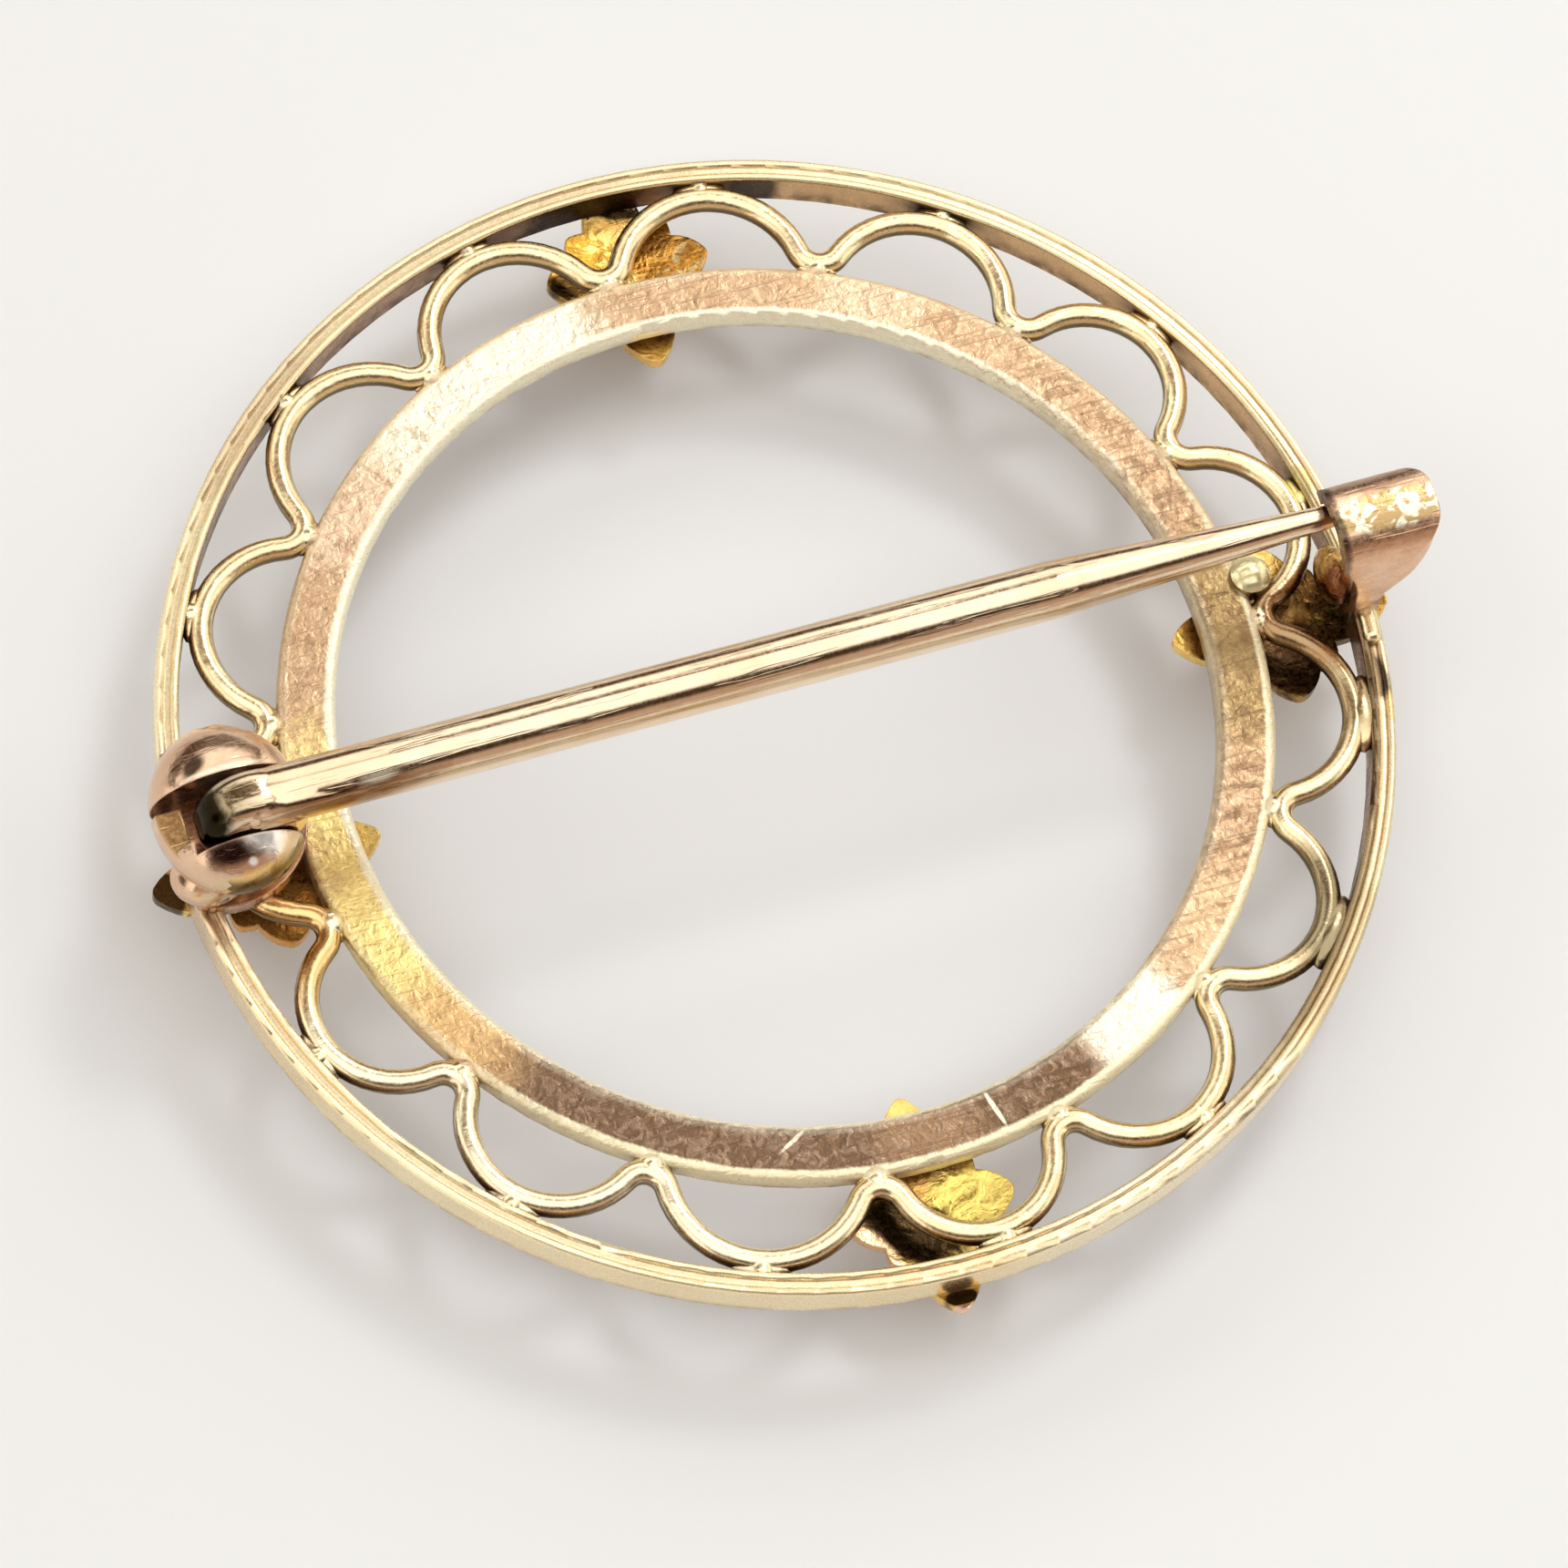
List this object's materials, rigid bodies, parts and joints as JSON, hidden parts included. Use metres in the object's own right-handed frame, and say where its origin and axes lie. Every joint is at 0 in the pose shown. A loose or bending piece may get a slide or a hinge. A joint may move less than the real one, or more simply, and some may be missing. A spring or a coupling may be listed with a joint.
{
  "type": "seed pearl circle brooch",
  "caption": "Openwork gold circle brooch lying face down, with leaf and pearl clusters on its front, a hinged pin stem and a curled catch",
  "frame": {"origin": "middle of the footprint, on the surface that the pearls rest on", "axes": "+Z out of the brooch's back, +X along the pin stem from hinge to catch"},
  "size_m": [0.0254, 0.0246, 0.0057],
  "materials": {
    "gold": "polished and worn rose gold",
    "gold_pin": "polished rose gold",
    "pearl": "pearl lustre"
  },
  "bodies": {
    "brooch": {"frame": "gold", "hinge_rivet": "gold_pin", "pearl_1": "pearl", "pearl_2": "pearl", "pearl_3": "pearl", "pearl_4": "pearl"},
    "pin": {"pin_stem": "gold_pin"}
  },
  "joints": [
    {"name": "pin_swing", "type": "hinge", "parent": "brooch", "child": "pin", "pos_m": [-0.01088, 0.00009, 0.0046], "axis": [0, -1, 0], "range_deg": [0, 110]}
  ]
}
